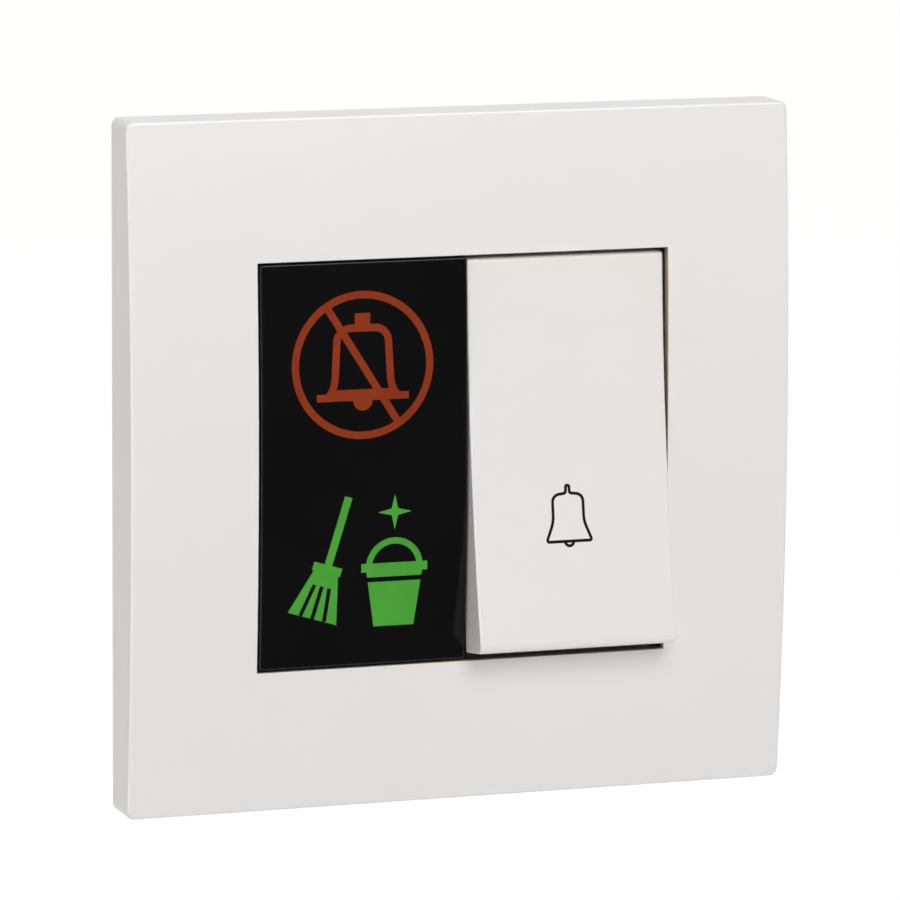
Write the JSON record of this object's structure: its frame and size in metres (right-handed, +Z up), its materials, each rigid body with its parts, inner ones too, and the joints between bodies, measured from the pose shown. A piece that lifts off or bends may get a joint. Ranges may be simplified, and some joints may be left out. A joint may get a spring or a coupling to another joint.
{
  "type": "flush bell push switch",
  "caption": "Square flush wall plate with a tilted rocker bell push beside a glossy indicator panel that shows do-not-disturb and make-up-room signs.",
  "frame": {"origin": "middle of the two fixing screws, in the plane of the wall, which is the plane of the cover plate's back rim", "axes": "+X to the right and +Z up as seen from the room, +Y into the wall"},
  "size_m": [0.086, 0.035, 0.086],
  "materials": {
    "cover_white": "satin moulded ABS",
    "rocker_white": "satin moulded ABS",
    "frame_grey": "glass-filled nylon",
    "housing_grey": "polycarbonate",
    "zinc_steel": "zinc plated",
    "bright_steel": "drawn",
    "terminal_brass": "machined",
    "contact_brass": "stamped strip",
    "contact_silver": "silver alloy",
    "plunger_white": "acetal",
    "lens_black": "polished acrylic",
    "legend_red": "polished acrylic",
    "legend_green": "polished acrylic",
    "opal_acrylic": "opal",
    "reflector_white": "moulded",
    "lamp_red": "clear epoxy",
    "lamp_green": "clear epoxy",
    "board_green": "fibreglass laminate",
    "resistor_tan": "lacquered",
    "diode_black": "moulded epoxy",
    "capacitor_red": "moulded box"
  },
  "bodies": {
    "base": {"support_frame": "frame_grey", "indicator_housing": "housing_grey", "push_housing": "housing_grey", "fixing_screws": "zinc_steel", "indicator_terminal_screws": "zinc_steel", "push_terminal_screws": "zinc_steel", "rocker_pivot_pin": "bright_steel", "return_spring": "bright_steel", "indicator_terminals": "terminal_brass", "push_terminals": "terminal_brass", "terminal_pins": "terminal_brass", "fixed_contacts": "contact_brass", "fixed_contact_tips": "contact_silver", "indicator_lens": "lens_black", "do_not_disturb_legend": "legend_red", "make_up_room_legend": "legend_green", "do_not_disturb_diffuser": "opal_acrylic", "make_up_room_diffuser": "opal_acrylic", "light_box": "reflector_white", "do_not_disturb_lamp": "lamp_red", "make_up_room_lamp": "lamp_green", "indicator_circuit_board": "board_green", "dropper_resistors": "resistor_tan", "rectifier_diodes": "diode_black", "film_capacitor": "capacitor_red"},
    "rocker": {"bell_rocker": "rocker_white"},
    "plunger": {"push_plunger": "plunger_white", "bridge_contact": "contact_brass", "bridge_contact_tips": "contact_silver"},
    "cover": {"cover_plate": "cover_white"}
  },
  "joints": [
    {"name": "rocker_press", "type": "hinge", "parent": "base", "child": "rocker", "pos_m": [0.01273, -0.0015, 0], "axis": [1, 0, 0], "range_deg": [0, 8], "stiffness_Nm_per_rad": 0.36, "springref_deg": -4.81},
    {"name": "plunger_travel", "type": "slide", "parent": "base", "child": "plunger", "axis": [0, 1, 0], "range_m": [0, 0.00165], "deforming": ["return_spring"]},
    {"name": "cover_lift_off", "type": "slide", "parent": "base", "child": "cover", "axis": [0, -1, 0], "range_m": [0, 0.025]}
  ],
  "couplings": [
    {"joint": "plunger_travel", "follows": "rocker_press", "m_per_rad": 0.0118}
  ]
}
